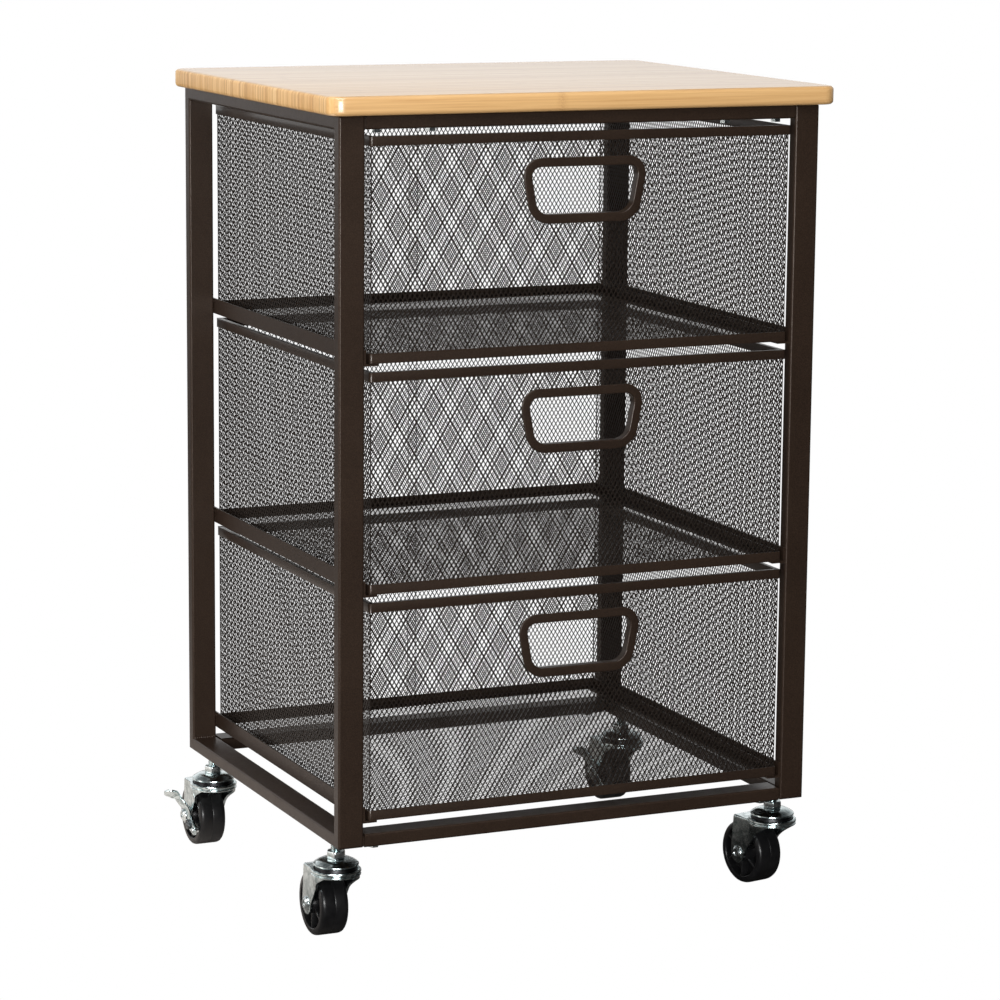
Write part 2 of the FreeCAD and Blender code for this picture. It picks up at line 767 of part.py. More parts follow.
def brake_lever():
    """Foot lever on the left leg: a bent arm up to a round-ended tab, and a link forward to the brake pin."""
    x_outer = -brake_outer
    x_inner = x_outer + brake_wall
    x_tab = x_outer - brake_arm_lean - brake_tab_reach
    tab_z = wheel_radius + brake_tab_up
    half_arm = brake_arm_width / 2
    arm_y = fork_trail - brake_arm_forward
    arm = prism_along_y([
        (x_inner, wheel_radius),
        (x_inner, wheel_radius + brake_arm_bend_up),
        (x_inner - brake_arm_lean, tab_z + brake_wall),
        (x_tab, tab_z + brake_tab_rise + brake_wall),
        (x_tab, tab_z + brake_tab_rise),
        (x_outer - brake_arm_lean, tab_z),
        (x_outer, wheel_radius + brake_arm_bend_up),
        (x_outer, wheel_radius),
    ], arm_y - half_arm, arm_y + half_arm)
    arm = arm.common(rounded_block(
        x_tab, x_inner + brake_arm_width, arm_y - half_arm, arm_y + half_arm,
        wheel_radius, tab_z + brake_tab_rise + brake_wall, half_arm - brake_side_gap))
    boss = Part.makeCylinder(
        brake_boss_radius, brake_wall, FreeCAD.Vector(x_outer, fork_trail, wheel_radius), x_axis)
    pin_y = fork_trail - brake_pin_forward
    pin_z = wheel_radius - brake_pin_down
    end_radius = brake_pin_radius + brake_wall
    link = prism_along_x([
        (fork_trail, wheel_radius + brake_boss_radius),
        (pin_y, pin_z + end_radius),
        (pin_y, pin_z - end_radius),
        (fork_trail, wheel_radius - brake_boss_radius),
    ], x_outer, x_inner)
    link_end = Part.makeCylinder(end_radius, brake_wall, FreeCAD.Vector(x_outer, pin_y, pin_z), x_axis)
    pin = Part.makeCylinder(
        brake_pin_radius, brake_outer + brake_pin_head - wheel_width / 2 - brake_pin_clearance,
        FreeCAD.Vector(x_outer - brake_pin_head, pin_y, pin_z), x_axis)
    stud_place = FreeCAD.Vector(
        x_outer - brake_stud_height, fork_trail - brake_stud_forward, wheel_radius - brake_stud_down)
    stud = Part.makeCylinder(brake_stud_radius, brake_stud_height, stud_place, x_axis)
    lever = boss.fuse([arm, link, link_end, pin, stud]).removeSplitter()
    hole_start = FreeCAD.Vector(x_outer - cut_overrun, fork_trail, wheel_radius)
    return lever.cut(Part.makeCylinder(
        axle_radius + axle_clearance, brake_wall + 2 * cut_overrun, hole_start, x_axis))


def placed(shape, corner):
    """A caster piece turned with its fork and stood at one corner of the frame."""
    sign_x, sign_y, turn = caster_places[corner]
    moved = shape.copy()
    moved.rotate(centre, z_axis, turn)
    return moved.translated(FreeCAD.Vector(sign_x * stem_x, sign_y * stem_y, 0))


def make_casters():
    stem = caster_stem()
    nut = lock_nut()
    parts["caster_stems"] = Part.Compound([placed(stem, corner) for corner in caster_places])
    parts["caster_lock_nuts"] = Part.Compound([placed(nut, corner) for corner in caster_places])
    fork_shape = fork()
    wheel_shape = wheel()
    plain_axle = axle(leg_outer)
    braked_axle = axle(brake_outer + brake_side_gap)
    lever = brake_lever()
    for corner in caster_places:
        braked = corner in braked_casters
        parts[corner + "_fork"] = placed(fork_shape, corner)
        parts[corner + "_wheel"] = placed(wheel_shape, corner)
        parts[corner + "_axle"] = placed(braked_axle if braked else plain_axle, corner)
        if braked:
            parts[corner + "_brake_lever"] = placed(lever, corner)


def write_parts():
    os.makedirs("parts", exist_ok=True)
    for name, shape in parts.items():
        shape.translated(frame_middle).exportStep(os.path.join("parts", name + ".step"))
        solids = len(shape.Solids)
        print(name, "solids", solids, "valid", shape.isValid(), "volume", round(shape.Volume, 1))


make_frame()
make_top_panel()
make_runners()
make_rail_screws()
make_top_screws()
make_drawers()
make_casters()
write_parts()
print("nodes", len(parts))
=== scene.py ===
import bmesh
import bpy
import json
import math
from mathutils import Matrix, Vector


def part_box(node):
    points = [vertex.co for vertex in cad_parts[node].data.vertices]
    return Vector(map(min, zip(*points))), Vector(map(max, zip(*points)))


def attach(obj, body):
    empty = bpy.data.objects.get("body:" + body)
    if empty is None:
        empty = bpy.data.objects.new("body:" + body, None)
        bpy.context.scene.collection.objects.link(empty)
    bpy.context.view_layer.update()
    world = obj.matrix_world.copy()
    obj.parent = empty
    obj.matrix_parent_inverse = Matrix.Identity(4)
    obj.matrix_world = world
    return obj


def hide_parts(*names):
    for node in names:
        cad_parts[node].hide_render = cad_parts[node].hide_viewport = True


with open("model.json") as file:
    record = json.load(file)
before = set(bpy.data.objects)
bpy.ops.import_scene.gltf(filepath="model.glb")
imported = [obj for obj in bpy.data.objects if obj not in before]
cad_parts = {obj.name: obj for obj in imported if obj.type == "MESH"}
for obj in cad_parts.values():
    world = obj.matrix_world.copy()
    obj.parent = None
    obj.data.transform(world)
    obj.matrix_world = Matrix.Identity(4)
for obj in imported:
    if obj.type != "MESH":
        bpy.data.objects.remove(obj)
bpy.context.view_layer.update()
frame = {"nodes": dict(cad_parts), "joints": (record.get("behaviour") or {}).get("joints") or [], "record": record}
nodes = frame["nodes"]

mm = 0.001
hair = 0.001 * mm
mergeReach = 0.01 * mm
fullTurn = 2 * math.pi
levels = ("top", "middle", "bottom")
boxOf = {name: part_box(name) for name in nodes}
axisVector = {"X": Vector((1, 0, 0)), "Y": Vector((0, 1, 0)), "Z": Vector((0, 0, 1))}


# Shared mesh helpers

def scaled(points):
    return [Vector(p) * mm for p in points]


def allOf(bm):
    return list(bm.verts) + list(bm.edges) + list(bm.faces)


def turnMesh(bm, angle, axis):
    bmesh.ops.rotate(bm, verts=bm.verts, cent=(0, 0, 0), matrix=Matrix.Rotation(angle, 3, axis))


def moveMesh(bm, way):
    bmesh.ops.translate(bm, verts=bm.verts, vec=way)


def addLine(bm, points, closed=False):
    verts = [bm.verts.new(p) for p in points]
    edges = [bm.edges.new(pair) for pair in zip(verts, verts[1:])]
    if closed:
        edges.append(bm.edges.new((verts[-1], verts[0])))
    return edges


def addFace(bm, points):
    return bm.faces.new([bm.verts.new(p) for p in points])


def spinProfile(bm, pairs, axis, steps):  # pairs of radius and place along the axis, in mm
    points = [(radius, 0, along) if axis == "Z" else (along, 0, radius) for radius, along in pairs]
    addLine(bm, scaled(points), True)
    bmesh.ops.spin(
        bm, geom=allOf(bm), cent=(0, 0, 0), axis=axisVector[axis], dvec=(0, 0, 0), angle=fullTurn,
        steps=steps, use_merge=True, use_duplicate=False)
    bmesh.ops.remove_doubles(bm, verts=bm.verts, dist=mergeReach)
    bmesh.ops.recalc_face_normals(bm, faces=bm.faces)


def addCylinder(bm, centre, radius, length, steps, axis="X"):
    turn = Matrix.Rotation(math.pi / 2, 4, "Y") if axis == "X" else Matrix.Identity(4)
    bmesh.ops.create_cone(
        bm, cap_ends=True, cap_tris=False, segments=steps, radius1=radius, radius2=radius, depth=length,
        matrix=Matrix.Translation(centre) @ turn)


def bevelCorners(bm, verts, radius, steps):
    bmesh.ops.bevel(
        bm, geom=verts, offset=radius, offset_type="OFFSET", segments=steps, profile=0.5,
        affect="VERTICES", material=-1)


def bevelEdges(bm, edges, radius, steps):
    bmesh.ops.bevel(
        bm, geom=edges, offset=radius, offset_type="OFFSET", segments=steps, profile=0.5,
        affect="EDGES", clamp_overlap=True, material=-1)


def sharpEdges(bm, degrees):
    limit = math.radians(degrees)
    return [e for e in bm.edges if len(e.link_faces) == 2 and e.calc_face_angle(0) > limit]


def sharpAtTop(bm, z):
    return [e for e in sharpEdges(bm, 60) if min(v.co.z for v in e.verts) > z - hair]


def sharpAtFoot(bm, z):
    return [e for e in sharpEdges(bm, 60) if max(v.co.z for v in e.verts) < z + hair]


def pullFaces(bm, faces, way):
    made = bmesh.ops.extrude_face_region(bm, geom=faces)["geom"]
    bmesh.ops.translate(bm, verts=[g for g in made if isinstance(g, bmesh.types.BMVert)], vec=way)
    return [g for g in made if isinstance(g, bmesh.types.BMFace)]


def pullEdges(bm, edges, way):
    made = bmesh.ops.extrude_edge_only(bm, edges=edges)["geom"]
    bmesh.ops.translate(bm, verts=[g for g in made if isinstance(g, bmesh.types.BMVert)], vec=way)


def insetRing(bm, face, width):
    return bmesh.ops.inset_individual(bm, faces=[face], thickness=width, use_even_offset=True)["faces"]


def planFace(bm, low, high, corner, steps):
    z = low.z
    face = addFace(bm, [(low.x, low.y, z), (high.x, low.y, z), (high.x, high.y, z), (low.x, high.y, z)])
    bevelCorners(bm, list(face.verts), corner, steps)
    return max(bm.faces, key=lambda f: f.calc_area())


def cutAcross(bm, axis, places):
    normal = axisVector[axis]
    for place in places:
        bmesh.ops.bisect_plane(bm, geom=allOf(bm), dist=mergeReach, plane_co=normal * place, plane_no=normal)


def joinInto(target, part, matrix=None):
    if matrix is not None:
        bmesh.ops.transform(part, matrix=matrix, verts=part.verts)
    mesh = bpy.data.meshes.new("part")
    part.to_mesh(mesh)
    part.free()
    target.from_mesh(mesh)
    bpy.data.meshes.remove(mesh)


def easeBetween(value, low, high):
    share = min(1, max(0, (value - low) / (high - low)))
    return share * share * (3 - 2 * share)


def makePiece(bm, name, material, body, replaced=(), smooth=True, angle=38):
    bmesh.ops.recalc_face_normals(bm, faces=bm.faces)
    mesh = bpy.data.meshes.new(name)
    bm.to_mesh(mesh)
    bm.free()
    for face in mesh.polygons:
        face.use_smooth = smooth
    if smooth:
        mesh.set_sharp_from_angle(angle=math.radians(angle))
    piece = bpy.data.objects.new(name, mesh)
    bpy.context.scene.collection.objects.link(piece)
    mesh.materials.append(material)
    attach(piece, body)
    if replaced:
        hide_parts(*replaced)


# Shared material helpers

def startMaterial(name):
    material = bpy.data.materials.new(name)
    material.use_nodes = True
    tree = material.node_tree
    coords = tree.nodes.new("ShaderNodeTexCoord")
    return material, tree, tree.nodes["Principled BSDF"], coords.outputs["Object"]


def setInputs(node, values):
    for name, value in values.items():
        node.inputs[name].default_value = value


def splitOf(tree, vector):
    node = tree.nodes.new("ShaderNodeSeparateXYZ")
    tree.links.new(vector, node.inputs[0])
    return node.outputs


def noiseOf(tree, vector, scale, detail=3.0, rough=0.55):
    node = tree.nodes.new("ShaderNodeTexNoise")
    setInputs(node, {"Scale": scale, "Detail": detail, "Roughness": rough})
    tree.links.new(vector, node.inputs["Vector"])
    return node.outputs["Fac"]


def randomOf(tree, value):
    node = tree.nodes.new("ShaderNodeTexWhiteNoise")
    node.noise_dimensions = "1D"
    tree.links.new(value, node.inputs["W"])
    return node.outputs["Value"]


def rampOf(tree, value, stops):
    node = tree.nodes.new("ShaderNodeValToRGB")
    ramp = node.color_ramp
    while len(ramp.elements) < len(stops):
        ramp.elements.new(0.5)
    for element, (place, colour) in zip(ramp.elements, stops):
        element.position = place
        element.color = (*colour, 1)
    tree.links.new(value, node.inputs["Fac"])
    return node.outputs["Color"]


def rangeOf(tree, value, low, high, fromLow=0.0, fromHigh=1.0):
    node = tree.nodes.new("ShaderNodeMapRange")
    setInputs(node, {"From Min": fromLow, "From Max": fromHigh, "To Min": low, "To Max": high})
    tree.links.new(value, node.inputs["Value"])
    return node.outputs["Result"]


def bumpOf(tree, shader, height, strength, distance):
    node = tree.nodes.new("ShaderNodeBump")
    setInputs(node, {"Strength": strength, "Distance": distance})
    tree.links.new(height, node.inputs["Height"])
    tree.links.new(node.outputs["Normal"], shader.inputs["Normal"])


def mathOf(tree, kind, first, second=0):
    node = tree.nodes.new("ShaderNodeMath")
    node.operation = kind
    for socket, value in zip(node.inputs, (first, second)):
        if isinstance(value, (int, float)):
            socket.default_value = value
        else:
            tree.links.new(value, socket)
    return node.outputs["Value"]


def offMiddle(tree, value):
    return mathOf(tree, "ABSOLUTE", mathOf(tree, "SUBTRACT", mathOf(tree, "FRACT", value), 0.5))


def stretchOf(tree, axes, scales):
    node = tree.nodes.new("ShaderNodeCombineXYZ")
    for socket, axis, scale in zip(node.inputs, axes, scales):
        tree.links.new(mathOf(tree, "MULTIPLY", axis, scale), socket)
    return node.outputs[0]


def mixOf(tree, share, first, second):
    node = tree.nodes.new("ShaderNodeMix")
    node.data_type = "RGBA"
    sockets = {s.identifier: s for s in node.inputs}
    for key, value in (("Factor_Float", share), ("A_Color", first), ("B_Color", second)):
        socket = sockets[key]
        if isinstance(value, (int, float)):
            socket.default_value = value
        elif isinstance(value, tuple):
            socket.default_value = (*value, 1)
        else:
            tree.links.new(value, socket)
    return next(s for s in node.outputs if s.identifier == "Result_Color")


# Paint, zinc, moulding and bamboo

def makePaint(name, dark, light, roughness, grain=1500, coat=0.05):
    material, tree, shader, coords = startMaterial(name)
    setInputs(shader, {"Specular IOR Level": 0.3, "Specular Tint": (1, 0.84, 0.74, 1)})
    setInputs(shader, {"Coat Weight": coat, "Coat Roughness": 0.14})
    cloud = rampOf(tree, noiseOf(tree, coords, 14, 4), ((0.3, dark), (0.7, light)))
    # the coat's fine grain: its bump is real relief, and its colour is painted shade in the pits and painted
    # glints on the peaks
    speck = noiseOf(tree, coords, grain, 2)
    pitShade = [part * 0.6 for part in dark]
    peakGlint = [part * 1.7 for part in light]
    speckShadeAndGlint = rampOf(tree, speck, ((0.38, pitShade), (0.66, peakGlint)))
    tree.links.new(mixOf(tree, 0.45, cloud, speckShadeAndGlint), shader.inputs["Base Color"])
    smudge = noiseOf(tree, coords, 260, 3)
    tree.links.new(rangeOf(tree, smudge, roughness - 0.06, roughness + 0.08), shader.inputs["Roughness"])
    bumpOf(tree, shader, speck, 0.45, 0.12 * mm)
    return material


def makeZinc(name, dark, light, roughness):
    material, tree, shader, coords = startMaterial(name)
    setInputs(shader, {"Metallic": 1.0})
    cloud = noiseOf(tree, coords, 210, 6, 0.65)
    tree.links.new(rampOf(tree, cloud, ((0.36, dark), (0.6, light))), shader.inputs["Base Color"])
    smudge = noiseOf(tree, coords, 420, 4, 0.6)
    tree.links.new(rangeOf(tree, smudge, roughness - 0.05, roughness + 0.1), shader.inputs["Roughness"])
    wave = mathOf(tree, "MULTIPLY", noiseOf(tree, coords, 240, 2), 6.0)
    ripple = mathOf(tree, "ADD", wave, noiseOf(tree, coords, 1600, 2))
    bumpOf(tree, shader, ripple, 0.3, 0.06 * mm)
    return material


def makeMoulding(name, dark, light, roughness):
    material, tree, shader, coords = startMaterial(name)
    setInputs(shader, {"Specular IOR Level": 0.3, "Coat Weight": 0.12, "Coat Roughness": 0.2})
    cloud = noiseOf(tree, coords, 160, 4)
    tree.links.new(rampOf(tree, cloud, ((0.3, dark), (0.7, light))), shader.inputs["Base Color"])
    scuff = noiseOf(tree, coords, 700, 4, 0.65)
    tree.links.new(rangeOf(tree, scuff, roughness - 0.07, roughness + 0.12), shader.inputs["Roughness"])
    bumpOf(tree, shader, scuff, 0.15, 0.08 * mm)
    return material


bambooSize = {"strip": 6.2 * mm, "layer": 2.1 * mm, "wobble": 0.6 * mm, "cane": 310 * mm, "knotShare": 0.018}


def makeBamboo(name):
    material, tree, shader, coords = startMaterial(name)
    setInputs(shader, {"Coat Roughness": 0.22, "Coat IOR": 1.5})
    x, y, z = splitOf(tree, coords)

    # laminated strips lie side by side along Y, each with its own tone
    wobble = rangeOf(tree, noiseOf(tree, coords, 3.0, 1), -bambooSize["wobble"], bambooSize["wobble"])
    across = mathOf(tree, "ADD", y, wobble)
    stripPlace = mathOf(tree, "DIVIDE", across, bambooSize["strip"])
    strip = mathOf(tree, "FLOOR", stripPlace)
    tone = randomOf(tree, strip)
    stripTone = rampOf(tree, tone, (
        (0.0, (0.56, 0.31, 0.115)), (0.35, (0.65, 0.385, 0.155)),
        (0.7, (0.72, 0.45, 0.2)), (1.0, (0.80, 0.54, 0.27))))
    fibre = noiseOf(tree, stretchOf(tree, (x, y, z), (9.0, 700.0, 700.0)), 1.0, 5, 0.6)
    fibreTone = rampOf(tree, fibre, (
        (0.3, (0.45, 0.24, 0.09)), (0.55, (0.72, 0.46, 0.21)), (0.8, (0.82, 0.57, 0.3))))
    stripColour = mixOf(tree, 0.42, stripTone, fibreTone)

    # a darker band at each joint of the cane, in another place on each strip
    caneShift = randomOf(tree, mathOf(tree, "ADD", strip, 37.3))
    canePlace = mathOf(tree, "ADD", mathOf(tree, "DIVIDE", x, bambooSize["cane"]), caneShift)
    knot = rangeOf(tree, offMiddle(tree, canePlace), 1.0, 0.0, 0.0, bambooSize["knotShare"])
    knotGrain = noiseOf(tree, coords, 900, 3)
    knotTone = rampOf(tree, knotGrain, ((0.35, (0.36, 0.18, 0.06)), (0.65, (0.62, 0.37, 0.15))))
    alongGrain = mixOf(tree, mathOf(tree, "MULTIPLY", knot, 0.45), stripColour, knotTone)

    # end grain on the left and right edges
    layer = mathOf(tree, "FLOOR", mathOf(tree, "DIVIDE", across, bambooSize["layer"]))
    layerTone = rampOf(tree, randomOf(tree, layer), (
        (0.0, (0.36, 0.16, 0.04)), (0.25, (0.58, 0.31, 0.10)),
        (0.6, (0.74, 0.46, 0.19)), (1.0, (0.88, 0.64, 0.34))))
    bandTone = rampOf(tree, tone, (
        (0.0, (0.52, 0.26, 0.08)), (0.3, (0.72, 0.44, 0.17)),
        (0.7, (0.82, 0.55, 0.25)), (1.0, (0.70, 0.38, 0.12))))
    pores = noiseOf(tree, stretchOf(tree, (x, y, z), (60.0, 1500.0, 130.0)), 1.0, 4, 0.6)
    poreTone = rampOf(tree, pores, ((0.35, (0.50, 0.27, 0.1)), (0.65, (0.82, 0.57, 0.3))))
    endGrain = mixOf(tree, 0.3, mixOf(tree, 0.45, layerTone, bandTone), poreTone)

    facing = splitOf(tree, tree.nodes.new("ShaderNodeTexCoord").outputs["Normal"])[0]
    atEnd = rangeOf(tree, mathOf(tree, "ABSOLUTE", facing), 0.0, 1.0, 0.6, 0.8)
    tree.links.new(mixOf(tree, atEnd, alongGrain, endGrain), shader.inputs["Base Color"])
    tree.links.new(rangeOf(tree, atEnd, 0.95, 0.05), shader.inputs["Coat Weight"])
    tree.links.new(rangeOf(tree, atEnd, 0.5, 0.2), shader.inputs["Specular IOR Level"])
    tree.links.new(rangeOf(tree, fibre, 0.3, 0.46), shader.inputs["Roughness"])

    # fine fibres and the seams between the strips
    seam = rangeOf(tree, offMiddle(tree, stripPlace), 1.0, 0.0, 0.46, 0.5)
    relief = mathOf(tree, "ADD", mathOf(tree, "MULTIPLY", fibre, 0.5), mathOf(tree, "MULTIPLY", seam, 0.5))
    bumpOf(tree, shader, relief, 0.12, 0.2 * mm)
    return material


framePaint = makePaint("frame_paint", (0.015, 0.0088, 0.006), (0.025, 0.0155, 0.0105), 0.36)
drawerPaint = makePaint("drawer_paint", (0.014, 0.0084, 0.006), (0.024, 0.015, 0.0102), 0.36, coat=0.3)
meshPaint = makePaint("mesh_paint", (0.007, 0.005, 0.004), (0.012, 0.0085, 0.0065), 0.42, 1900)
brightZinc = makeZinc("bright_zinc", (0.34, 0.42, 0.43), (0.8, 0.89, 0.9), 0.15)
boltZinc = makeZinc("bolt_zinc", (0.38, 0.44, 0.45), (0.8, 0.86, 0.87), 0.2)
raceSteel = makeZinc("race_steel", (0.012, 0.012, 0.013), (0.035, 0.036, 0.038), 0.34)
darkZinc = makeZinc("dark_zinc", (0.05, 0.055, 0.06), (0.13, 0.14, 0.145), 0.3)
wheelBlack = makeMoulding("wheel_black", (0.004, 0.004, 0.0045), (0.009, 0.009, 0.0095), 0.3)
bambooWood = makeBamboo("bamboo_wood")

slotMaterial = {
    "bamboo": bambooWood, "frame_brown": framePaint, "drawer_brown": drawerPaint, "mesh_brown": meshPaint,
    "zinc": brightZinc, "bolt_zinc": boltZinc, "lever_zinc": brightZinc, "wheel_black": wheelBlack}
slotOf = {part["node"]: part["material_slot"] for part in frame["record"]["subparts"]}
for name, node in nodes.items():
    for materialSlot in node.material_slots:
        materialSlot.material = slotMaterial[slotOf[name]]
print("materials done")


# Bamboo top

panelSize = {"corner": 12 * mm, "edge": 3 * mm}


def makeTopPanel():
    low, high = boxOf["top_panel"]
    bm = bmesh.new()
    planFace(bm, low, high, panelSize["corner"], 8)
    pullFaces(bm, list(bm.faces), (0, 0, high.z - low.z))
    flatEdges = [e for e in bm.edges if abs(e.verts[0].co.z - e.verts[1].co.z) < hair]
    bevelEdges(bm, flatEdges, panelSize["edge"], 5)
    makePiece(bm, "bamboo_top", bambooWood, "frame", ("top_panel",))


makeTopPanel()
print("top done")


# Walls and floors of expanded metal

meshSize = {
    "pitchX": 3.8 * mm, "pitchZ": 6.1 * mm, "floorX": 4.4 * mm, "floorY": 7 * mm, "strand": 0.68 * mm,
    "thick": 0.32 * mm, "aboveFoot": 1.9 * mm, "belowTop": 2.2 * mm, "play": 0.4 * mm, "lapShare": 2.1}


def makeLattice(wide, tall, pitchAcross, pitchUp, keepOut=None):
    columns = round(wide / pitchAcross)
    rows = round(tall / pitchUp)
    cells = 2 * math.ceil((columns + rows) / 2 + 1)
    bm = bmesh.new()
    bmesh.ops.create_grid(bm, x_segments=cells, y_segments=cells, size=cells / math.sqrt(2) / 2)
    turnMesh(bm, math.radians(45), "Z")
    for normal, reach in (((1, 0, 0), columns), ((-1, 0, 0), columns), ((0, 1, 0), rows), ((0, -1, 0), rows)):
        bmesh.ops.bisect_plane(
            bm, geom=allOf(bm), dist=0.1 * mm, plane_co=Vector(normal) * reach / 2, plane_no=normal,
            clear_outer=True)
    bmesh.ops.scale(bm, verts=bm.verts, vec=(wide / columns, tall / rows, 1))
    turnMesh(bm, math.radians(90), "X")
    if keepOut:
        covered = [f for f in bm.faces if keepOut(f.calc_center_median())]
        bmesh.ops.delete(bm, geom=covered, context="FACES")
    holes = list(bm.faces)
    bmesh.ops.inset_individual(bm, faces=holes, thickness=meshSize["strand"] / 2, use_even_offset=True)
    bmesh.ops.delete(bm, geom=holes, context="FACES_ONLY")
    return bm


def thicken(bm):
    bmesh.ops.recalc_face_normals(bm, faces=bm.faces)
    bmesh.ops.solidify(bm, geom=list(bm.faces), thickness=meshSize["thick"])
    moveMesh(bm, (0, -min(v.co.y for v in bm.verts), 0))


def insideHandle(point, centre):
    lean = (handleSize["top"] - handleSize["bottom"]) / 2 / handleSize["height"]
    depth = centre.z - point.z
    halfWide = handleSize["top"] / 2 - lean * depth - handleSize["lapAcross"]
    atHeight = handleSize["lapUp"] < depth < handleSize["height"] - handleSize["lapUp"]
    return atHeight and abs(point.x - centre.x) < halfWide


def makeDrawerMesh(level, body):
    low, high = boxOf[f"{level}_drawer_base_rim"]
    top = boxOf[f"{level}_drawer_top_rim"][1].z
    bottom = low.z + meshSize["aboveFoot"]
    tall = top - meshSize["belowTop"] - bottom
    middle = (low + high) / 2
    middle.z = bottom + tall / 2
    wall = rimSize["wall"]
    wide = high.x - low.x - 2 * wall - meshSize["play"]
    deep = high.y - low.y - 2 * wall - 2 * meshSize["thick"]

    handleTop = Vector((0, 0, top - handleSize["belowRim"] - middle.z))
    walls = (
        ("front", wide, 0, (middle.x, low.y + wall, middle.z), lambda p: insideHandle(p, handleTop)),
        ("back", wide, math.pi, (middle.x, high.y - wall, middle.z), None),
        ("left", deep, -math.pi / 2, (low.x + wall, middle.y, middle.z), None),
        ("right", deep, math.pi / 2, (high.x - wall, middle.y, middle.z), None))
    for side, width, turn, place, keepOut in walls:
        bm = makeLattice(width, tall, meshSize["pitchX"], meshSize["pitchZ"], keepOut)
        thicken(bm)
        turnMesh(bm, turn, "Z")
        moveMesh(bm, place)
        node = f"{level}_drawer_{side}_mesh" if side in ("front", "back") else f"{level}_drawer_side_meshes"
        makePiece(bm, f"{level}_{side}_wall", meshPaint, body, (node,), smooth=False)

    # the back wall is closed by a lap of two cells
    bm = makeLattice(2 * meshSize["pitchX"], tall, meshSize["pitchX"], meshSize["pitchZ"])
    thicken(bm)
    moveMesh(bm, (middle.x, high.y - wall - meshSize["lapShare"] * meshSize["thick"], middle.z))
    makePiece(
        bm, f"{level}_back_lap", meshPaint, body, (f"{level}_drawer_back_mesh",), smooth=False)

    bm = makeLattice(wide, deep, meshSize["floorX"], meshSize["floorY"])
    thicken(bm)
    turnMesh(bm, math.pi / 2, "X")
    moveMesh(bm, (middle.x, middle.y, low.z + wall - min(v.co.z for v in bm.verts)))
    makePiece(
        bm, f"{level}_floor", meshPaint, body, (f"{level}_drawer_floor_mesh",), smooth=False)


# Rims of the drawers, the top one a flat frame and the base one an L angle

rimSize = {
    "corner": 2 * mm, "width": 4 * mm, "wall": 1.2 * mm, "flange": 9 * mm,
    "topEdge": 1.1 * mm, "underEdge": 0.35 * mm, "bend": 0.8 * mm, "wallEdge": 0.3 * mm}


def makeTopRim(level, body):
    name = f"{level}_drawer_top_rim"
    low, high = boxOf[name]
    bm = bmesh.new()
    face = planFace(bm, low, high, rimSize["corner"], 6)
    ring = insetRing(bm, face, rimSize["width"])
    bmesh.ops.delete(bm, geom=[face], context="FACES_ONLY")
    pullFaces(bm, ring, (0, 0, high.z - low.z))
    bevelEdges(bm, sharpAtTop(bm, high.z), rimSize["topEdge"], 4)
    bevelEdges(bm, sharpAtFoot(bm, low.z), rimSize["underEdge"], 2)
    makePiece(bm, f"{level}_rim", drawerPaint, body, (name,))


def makeBaseRim(level, body):
    name = f"{level}_drawer_base_rim"
    low, high = boxOf[name]
    wall = rimSize["wall"]
    bm = bmesh.new()
    face = planFace(bm, low, high, rimSize["corner"], 6)
    wallRing = insetRing(bm, face, wall)
    flangeRing = insetRing(bm, face, rimSize["flange"] - wall)
    bmesh.ops.delete(bm, geom=[face], context="FACES_ONLY")
    wallTop = []
    for raised in pullFaces(bm, wallRing + flangeRing, (0, 0, wall)):
        place = raised.calc_center_median()
        if min(place.x - low.x, high.x - place.x, place.y - low.y, high.y - place.y) < wall * 1.5:
            wallTop.append(raised)
    pullFaces(bm, wallTop, (0, 0, high.z - low.z - wall))
    bmesh.ops.delete(bm, geom=wallTop, context="FACES_ONLY")
    bevelEdges(bm, sharpAtFoot(bm, low.z), rimSize["bend"], 4)
    bevelEdges(bm, sharpAtTop(bm, high.z), rimSize["wallEdge"], 2)
    makePiece(bm, f"{level}_base", drawerPaint, body, (name,))


# Handles, each a raised band round an opening, with a lip turned back along its inner edge

handleSize = {
    "top": 105 * mm, "bottom": 87 * mm, "height": 48.5 * mm, "belowRim": 19 * mm, "band": 6.8 * mm,
    "topCorner": 17 * mm, "lowCorner": 14 * mm, "wall": 1.2 * mm, "standOut": 1.2 * mm, "edge": 0.75 * mm,
    "lapAcross": 4.6 * mm, "lapUp": 3.8 * mm}  # the mesh reaches this far under the band


def frontPlace(face):
    place = face.calc_center_median()
    return round(place.x, 6), round(place.z, 6)


def makeHandle(level, body):
    name = f"{level}_drawer_handle"
    low, high = boxOf[name]
    midX = (low.x + high.x) / 2
    halfTop, halfBottom = handleSize["top"] / 2, handleSize["bottom"] / 2
    bottomZ = high.z - handleSize["height"]
    bm = bmesh.new()
    face = addFace(bm, [
        (midX - halfTop, low.y, high.z), (midX + halfTop, low.y, high.z),
        (midX + halfBottom, low.y, bottomZ), (midX - halfBottom, low.y, bottomZ)])
    bevelCorners(bm, [v for v in face.verts if v.co.z > high.z - mm], handleSize["topCorner"], 12)
    bevelCorners(bm, [v for v in bm.verts if v.co.z < bottomZ + mm], handleSize["lowCorner"], 12)
    face = max(bm.faces, key=lambda f: f.calc_area())
    band = insetRing(bm, face, handleSize["band"] - handleSize["wall"])
    lip = insetRing(bm, face, handleSize["wall"])
    bmesh.ops.delete(bm, geom=[face], context="FACES_ONLY")
    lipPlaces = {frontPlace(f) for f in lip}
    depth = handleSize["standOut"]
    backFaces = pullFaces(bm, band + lip, (0, depth, 0))
    lipBack = [f for f in backFaces if frontPlace(f) in lipPlaces]
    pullFaces(bm, lipBack, (0, high.y - low.y - depth, 0))
    bmesh.ops.delete(bm, geom=lipBack, context="FACES_ONLY")
    bmesh.ops.recalc_face_normals(bm, faces=bm.faces)
    frontEdges = [e for e in sharpEdges(bm, 60) if max(v.co.y for v in e.verts) < low.y + hair]
    bevelEdges(bm, frontEdges, handleSize["edge"], 4)
    makePiece(bm, f"{level}_handle", drawerPaint, body, (name,))


